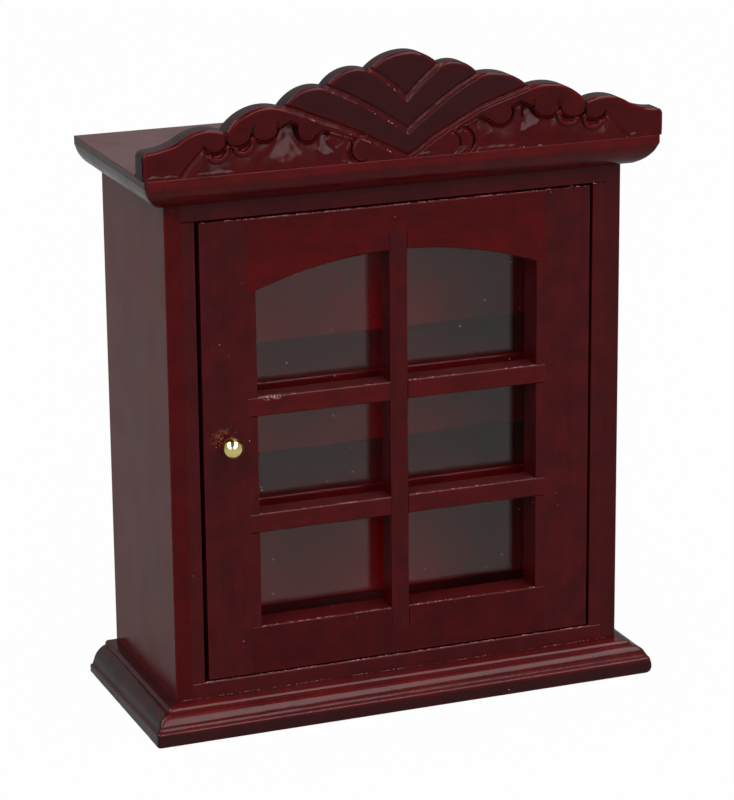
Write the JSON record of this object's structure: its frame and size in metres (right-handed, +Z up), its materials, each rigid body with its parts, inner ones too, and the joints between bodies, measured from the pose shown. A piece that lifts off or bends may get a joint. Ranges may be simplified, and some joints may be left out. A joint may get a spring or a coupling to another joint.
{
  "type": "display cabinet",
  "caption": "Doll's-house display cabinet with a glazed hinged door under a shallow arch, shelves inside, moulded base and cornice, carved crest and ball knob.",
  "frame": {"origin": "middle of the footprint, on the surface that the base stands on", "axes": "+Z up, the door faces -Y, the back is at +Y, +X to the right of a viewer who faces the door"},
  "size_m": [0.0798, 0.0344, 0.0997],
  "materials": {
    "carcass_wood": "gloss mahogany lacquer",
    "moulding_wood": "gloss mahogany lacquer",
    "door_wood": "gloss mahogany lacquer",
    "clear_sheet": "clear polished sheet",
    "knob_brass": "polished",
    "hinge_wire": "drawn wire"
  },
  "bodies": {
    "cabinet": {"left_side": "carcass_wood", "right_side": "carcass_wood", "carcass_top": "carcass_wood", "carcass_bottom": "carcass_wood", "back_panel": "carcass_wood", "upper_shelf": "carcass_wood", "lower_shelf": "carcass_wood", "left_filler_strip": "carcass_wood", "right_filler_strip": "carcass_wood", "cornice_board": "moulding_wood", "crest_board": "moulding_wood", "base_board": "moulding_wood", "hinge_pin_upper": "hinge_wire", "hinge_pin_lower": "hinge_wire"},
    "door": {"door_knob_stile": "door_wood", "door_hinge_stile": "door_wood", "door_top_rail": "door_wood", "door_bottom_rail": "door_wood", "door_mullion": "door_wood", "door_upper_bar": "door_wood", "door_lower_bar": "door_wood", "door_pane": "clear_sheet", "door_knob": "knob_brass"}
  },
  "joints": [
    {"name": "door_hinge", "type": "hinge", "parent": "cabinet", "child": "door", "pos_m": [0.0279, -0.01115, 0.0422], "axis": [0, 0, 1], "range_deg": [0, 115]}
  ]
}
